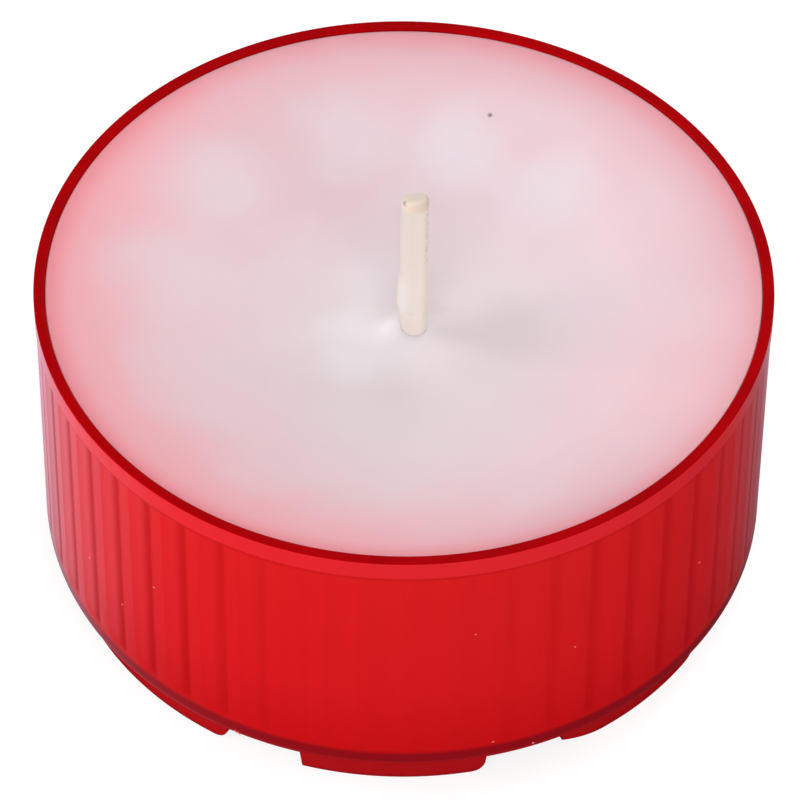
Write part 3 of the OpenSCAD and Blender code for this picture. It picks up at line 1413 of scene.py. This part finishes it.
@dataclass
class Dust:
    """Crumbs of wax and lint that cling to the cup's wall."""

    cup: CupMoulding
    thickness: float = 0.03
    sunk: float = 0.02
    flute_room: float = 0.1
    wobble: float = 0.01
    seed: int = 5
    specks: tuple[Speck, ...] = (
        Speck(-26.7, 2.2, 0.24, 0.06, 22),
        Speck(11.7, 12.1, 0.07, 0.05),
        Speck(28.3, 9.05, 0.08, 0.05, 60),
        Speck(54.7, 9.2, 0.12, 0.05, 20),
        Speck(21.6, 2.42, 0.10, 0.06, 10),
        Speck(14.9, 3.3, 0.07, 0.05),
        Speck(-59.1, 7.7, 0.09, 0.06, 80),
        Speck(-42.1, 10.4, 0.09, 0.04, 10),
        Speck(-49.9, 6.9, 0.06, 0.05, -30),
    )

    def build(self, finish: Finish) -> bpy.types.Object:
        """Makes all crumbs as one piece.

        Args:
            finish: Their finish.

        Returns:
            The object.
        """
        # noise_vector takes its offsets from the seed, which is the clock's unless it is set.
        noise.seed_set(self.seed)
        crumbs = bmesh.new()
        for number, speck in enumerate(self.specks):
            radius = float(self.cup.drafted(self.cup.rib_radius, speck.z))
            if speck.z > self.cup.flute_low - self.flute_room:
                radius = float(self.cup.hollowed(np.array([speck.azimuth]), radius, speck.z)[0])
            else:
                radius -= self.sunk
            turn = radians(speck.azimuth)
            place = Vector((radius * sin(turn), -radius * cos(turn), speck.z)) * MM
            shape = (
                Matrix.Translation(place)
                @ Matrix.Rotation(turn, 4, "Z")
                @ Matrix.Rotation(radians(speck.tilt), 4, "Y")
                @ Matrix.Diagonal((speck.long * MM, self.thickness * MM, speck.wide * MM, 1))
            )
            made = bmesh.ops.create_icosphere(crumbs, subdivisions=2, radius=1.0, matrix=shape)
            for vertex in made["verts"]:
                shift = noise.noise_vector(vertex.co / MM * 9 + Vector((number, 0, 0)))
                vertex.co += shift * self.wobble * MM
        return placed("dust", poured(crumbs, bpy.data.meshes.new("dust")), finish)


# ---- the studio


@dataclass(frozen=True)
class Lamp:
    """A soft box: where it stands about the candle, and how large and strong it is."""

    name: str
    azimuth: float
    elevation: float
    distance: float
    size: float
    power: float

    def place(self) -> None:
        """Sets the lamp up, facing the candle."""
        data = bpy.data.lights.new(self.name, "AREA")
        data.shape, data.size, data.energy = "DISK", self.size, self.power
        turn, up = radians(self.azimuth), radians(self.elevation)
        aim = Vector((sin(turn) * cos(up), -cos(turn) * cos(up), sin(up)))
        lamp = placed(self.name, data)
        lamp.location = aim * self.distance
        lamp.rotation_euler = aim.to_track_quat("Z", "Y").to_euler()


@dataclass
class Studio:
    """Plain pale floor, soft light and the photograph's long lens."""

    pitch: float = 47.734
    roll: float = 0.542
    distance: float = 589.66
    focal_length: float = 512.06
    sensor: float = 36.0
    aim_x: float = -0.145
    aim_z: float = 9.450
    floor_radius: float = 900.0
    ambient: float = 0.345
    lamps: tuple[Lamp, ...] = (
        Lamp("key", -1.0, 24.0, 0.70, 0.80, 3.8),
        Lamp("side", -90.0, 18.0, 0.70, 0.50, 2.5),
        Lamp("back", 140.0, 45.0, 0.70, 0.80, 2.2),
    )

    def floor(self, finish: Finish) -> None:
        """Lays the floor.

        Args:
            finish: Its finish.
        """
        disc = bmesh.new()
        bmesh.ops.create_circle(disc, cap_ends=True, segments=96, radius=self.floor_radius * MM)
        placed("floor", poured(disc, bpy.data.meshes.new("floor")), finish)

    def world(self) -> None:
        """Lights the room evenly, and shows it white to the camera and in reflections."""
        world = bpy.data.worlds.new("studio")
        bpy.context.scene.world = world
        graph = Graph(world)
        seen = graph.rays("Is Camera Ray", "Is Glossy Ray", "Is Transmission Ray")
        room, shown = (
            graph.add("ShaderNodeBackground", inputs={"Color": WHITE, "Strength": strength})
            for strength in (self.ambient, 1.0)
        )
        mixed = graph.add("ShaderNodeMixShader", inputs={0: seen, 1: room, 2: shown})
        graph.add("ShaderNodeOutputWorld", inputs={"Surface": mixed})

    def camera(self) -> None:
        """Sets up the camera at the photograph's angle and frame."""
        pitch, roll = radians(self.pitch), radians(self.roll)
        ahead = Vector((0, cos(pitch), -sin(pitch)))
        level, upright = Vector((1, 0, 0)), Vector((0, sin(pitch), cos(pitch)))
        right = level * cos(roll) + upright * sin(roll)
        up = upright * cos(roll) - level * sin(roll)
        data = bpy.data.cameras.new("camera")
        data.lens = self.focal_length
        data.sensor_width = self.sensor
        data.clip_start, data.clip_end = 0.05, 10.0
        camera = placed("camera", data)
        place = Vector((self.aim_x, 0, self.aim_z)) - ahead * self.distance
        turn = Matrix((right, up, -ahead)).transposed().to_4x4()
        camera.matrix_world = Matrix.Translation(place * MM) @ turn
        bpy.context.scene.camera = camera

    def build(self, finish: Finish) -> None:
        """Sets up the floor, the light and the camera.

        Args:
            finish: Finish of the floor.
        """
        self.floor(finish)
        self.world()
        for lamp in self.lamps:
            lamp.place()
        self.camera()
        bpy.context.scene.view_settings.view_transform = "Standard"


def report(piece: bpy.types.Object) -> None:
    """Logs a piece's name and its number of faces."""
    log.info("%s: %d faces", piece.name, len(piece.data.polygons))


def main() -> None:
    """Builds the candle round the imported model, and the studio about it."""
    logging.basicConfig(level=logging.INFO, format="%(name)s %(message)s")
    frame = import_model()

    cup = CupMoulding()
    wax = WaxFill(cup)
    made: list[tuple[Callable[[], bpy.types.Object], str, str]] = [
        (lambda: cup.build(CupRed(), RimRed()), "cup", "cup_plastic"),
        (lambda: wax.build(WhiteWax()), "wax", "wax"),
        (lambda: Wick(wax).build(WaxedCotton()), "wick", "cotton"),
        (lambda: Dust(cup).build(Lint()), "", "wax"),
    ]
    for build, node, slot in made:
        piece = build()
        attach(piece, "root")
        if node:
            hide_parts(node)
        report(piece)
    report(Sustainer(frame["nodes"]["wick_sustainer"]).dress(Tinplate()))

    Studio().build(StudioFloor())


if __name__ == "__main__":
    main()
